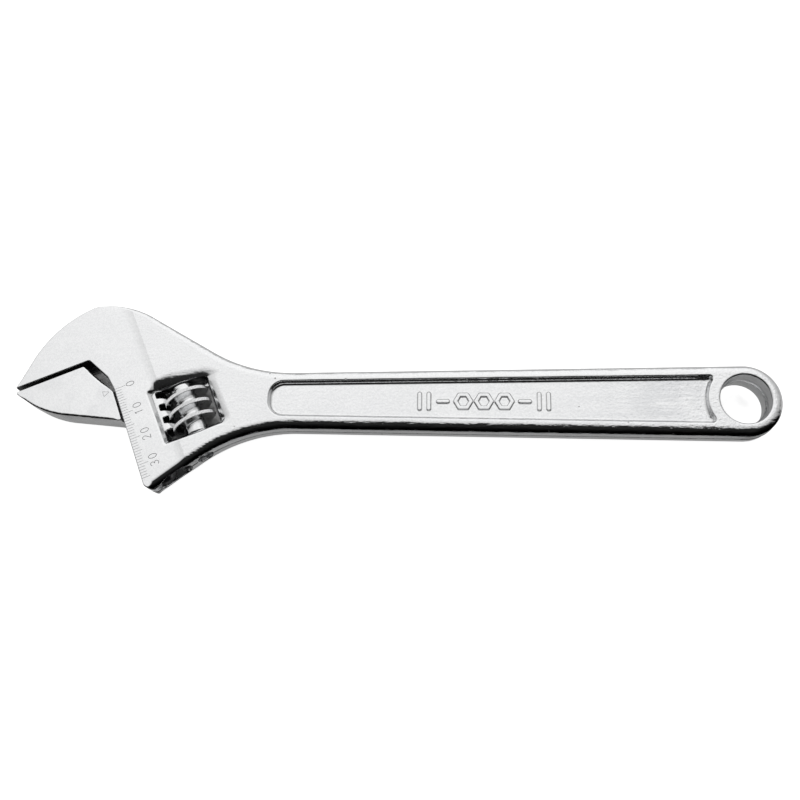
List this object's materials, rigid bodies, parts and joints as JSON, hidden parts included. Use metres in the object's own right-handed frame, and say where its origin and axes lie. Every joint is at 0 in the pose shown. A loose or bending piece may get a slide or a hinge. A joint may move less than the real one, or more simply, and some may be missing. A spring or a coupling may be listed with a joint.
{
  "type": "adjustable wrench",
  "caption": "Hand wrench with a fixed jaw forged on its handle and a sliding jaw that a knurled worm screw moves along the head; recessed handle with a round hang hole.",
  "frame": {"origin": "centre of the hang hole, half way through the handle's thickness", "axes": "+X along the handle from the jaws towards the hang hole, +Y towards the side with the fixed jaw, +Z out of the front face, the wrench lying flat"},
  "size_m": [0.302, 0.0765, 0.018],
  "materials": {
    "forged_chrome": "bright chrome plate over a forged and partly ground surface",
    "jaw_chrome": "bright chrome plate over a ground surface",
    "worm_chrome": "chrome plate, crests finely knurled",
    "pin_steel": "turned steel, slotted end",
    "spring_steel": "drawn spring wire"
  },
  "bodies": {
    "body": {"body": "forged_chrome", "worm_pin": "pin_steel", "worm_spring": "spring_steel"},
    "jaw": {"movable_jaw": "jaw_chrome"},
    "worm": {"worm": "worm_chrome"}
  },
  "joints": [
    {"name": "worm_spin", "type": "hinge", "parent": "body", "child": "worm", "pos_m": [-0.21657, -0.00325, 0], "axis": [-0.3827, 0.9239, 0], "range_deg": [-82, 2161]},
    {"name": "jaw_slide", "type": "slide", "parent": "body", "child": "jaw", "axis": [0.3827, -0.9239, 0], "range_m": [-0.00125, 0.033]}
  ],
  "couplings": [
    {"joint": "worm_spin", "follows": "jaw_slide", "rad_per_m": 1142.4}
  ]
}
